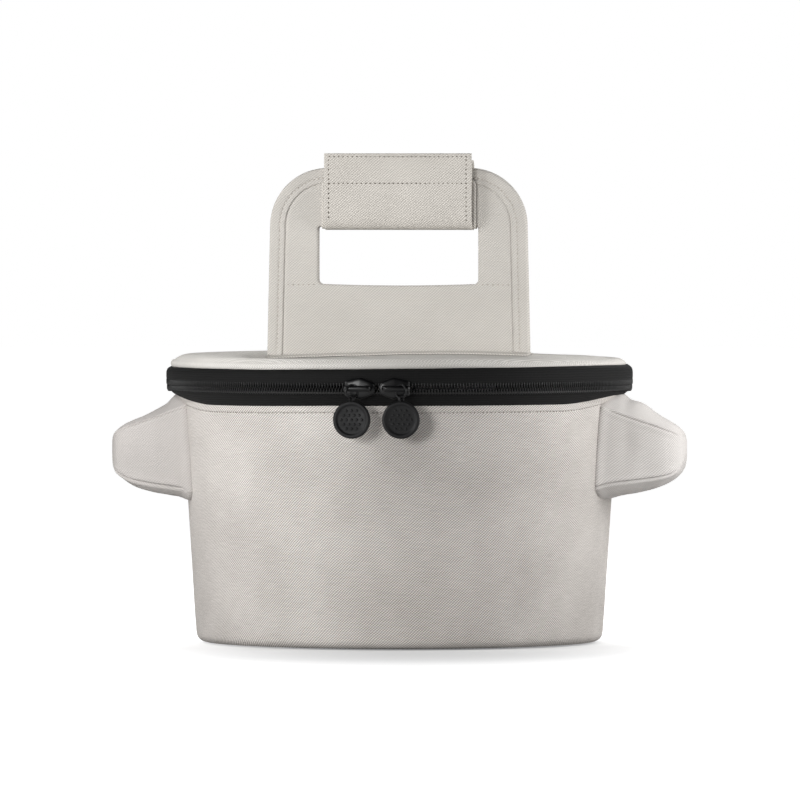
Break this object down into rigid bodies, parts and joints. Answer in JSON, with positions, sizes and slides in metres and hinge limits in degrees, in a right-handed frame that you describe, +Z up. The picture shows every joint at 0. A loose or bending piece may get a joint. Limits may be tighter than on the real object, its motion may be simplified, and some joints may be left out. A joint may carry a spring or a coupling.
{
  "type": "casserole carrier",
  "caption": "Round padded canvas carrier with a zipped hinged lid, side pockets for a casserole's ear handles and upright carry panels joined by a hook-and-loop grip wrap.",
  "frame": {"origin": "centre of the flat base, on the surface it stands on", "axes": "+X towards the right-hand pocket, -Y towards the zip pulls at the front, +Z up"},
  "size_m": [0.401, 0.3366, 0.3422],
  "materials": {
    "canvas": "natural cotton twill canvas",
    "lining": "smooth woven lining",
    "foam": "soft closed-cell padding",
    "board": "stiffener sheet",
    "zip_tape": "black woven tape",
    "zip_coil": "black nylon coil",
    "black_metal": "gloss black enamel",
    "pull_disc": "moulded, satin",
    "hook_and_loop": "hook-and-loop tape"
  },
  "bodies": {
    "bag": {"outer_wall": "canvas", "wall_foam": "foam", "wall_lining": "lining", "rim_facing": "canvas", "base_panel": "canvas", "base_board": "board", "base_foam": "foam", "base_lining": "lining", "left_pocket": "canvas", "right_pocket": "canvas", "left_pocket_lining": "lining", "right_pocket_lining": "lining", "lower_zip_tape": "zip_tape", "lower_zip_coil": "zip_coil", "left_end_stop": "zip_coil", "right_end_stop": "zip_coil", "hinge_panel_lower": "canvas"},
    "lid": {"lid_top_panel": "canvas", "lid_foam": "foam", "lid_board": "board", "lid_lining": "lining", "lid_rim_binding": "canvas", "upper_zip_tape": "zip_tape", "upper_zip_coil": "zip_coil", "hinge_panel_upper": "canvas", "front_foot_flange": "canvas", "rear_foot_flange": "canvas"},
    "carry_handle": {"front_handle_face": "canvas", "front_handle_core": "foam", "front_handle_back": "canvas", "rear_handle_face": "canvas", "rear_handle_core": "foam", "rear_handle_back": "canvas", "grip_sleeve": "canvas", "loop_strip": "hook_and_loop"},
    "wrap_flap": {"grip_flap": "canvas", "hook_strip": "hook_and_loop"},
    "left_zip_slider": {"left_slider": "black_metal", "left_slider_bail": "black_metal"},
    "left_ring": {"left_pull_ring": "black_metal"},
    "left_disc": {"left_pull_disc": "pull_disc"},
    "right_zip_slider": {"right_slider": "black_metal", "right_slider_bail": "black_metal"},
    "right_ring": {"right_pull_ring": "black_metal"},
    "right_disc": {"right_pull_disc": "pull_disc"}
  },
  "joints": [
    {"name": "lid_open", "type": "hinge", "parent": "bag", "child": "lid", "pos_m": [0, 0.1628, 0.181], "axis": [-1, 0, 0], "range_deg": [0, 110]},
    {"name": "handle_fold", "type": "hinge", "parent": "lid", "child": "carry_handle", "pos_m": [0, 0, 0.2094], "axis": [-1, 0, 0], "range_deg": [-78, 78]},
    {"name": "flap_peel", "type": "hinge", "parent": "carry_handle", "child": "wrap_flap", "pos_m": [0, -0.0105, 0.2883], "axis": [1, 0, 0], "range_deg": [0, 150]},
    {"name": "left_slider_travel", "type": "hinge", "parent": "bag", "child": "left_zip_slider", "pos_m": [0, 0, 0.181], "axis": [0, 0, -1], "range_deg": [0, 147]},
    {"name": "left_ring_lift", "type": "hinge", "parent": "left_zip_slider", "child": "left_ring", "pos_m": [-0.01698, -0.16981, 0.181], "axis": [-0.9973, 0.0732, 0], "range_deg": [0, 168]},
    {"name": "left_disc_swing", "type": "hinge", "parent": "left_ring", "child": "left_disc", "pos_m": [-0.01698, -0.16981, 0.1744], "axis": [-0.7902, -0.6129, 0], "range_deg": [0, 18]},
    {"name": "right_slider_travel", "type": "hinge", "parent": "bag", "child": "right_zip_slider", "pos_m": [0, 0, 0.181], "axis": [0, 0, 1], "range_deg": [0, 147]},
    {"name": "right_ring_lift", "type": "hinge", "parent": "right_zip_slider", "child": "right_ring", "pos_m": [0.01698, -0.16981, 0.181], "axis": [-0.9973, -0.0732, 0], "range_deg": [0, 168]},
    {"name": "right_disc_swing", "type": "hinge", "parent": "right_ring", "child": "right_disc", "pos_m": [0.01698, -0.16981, 0.1744], "axis": [-0.7902, 0.6129, 0], "range_deg": [0, 18]}
  ],
  "couplings": [
    {"joint": "left_ring_lift", "follows": "left_slider_travel", "ratio": 1.13},
    {"joint": "right_ring_lift", "follows": "right_slider_travel", "ratio": 1.13}
  ]
}
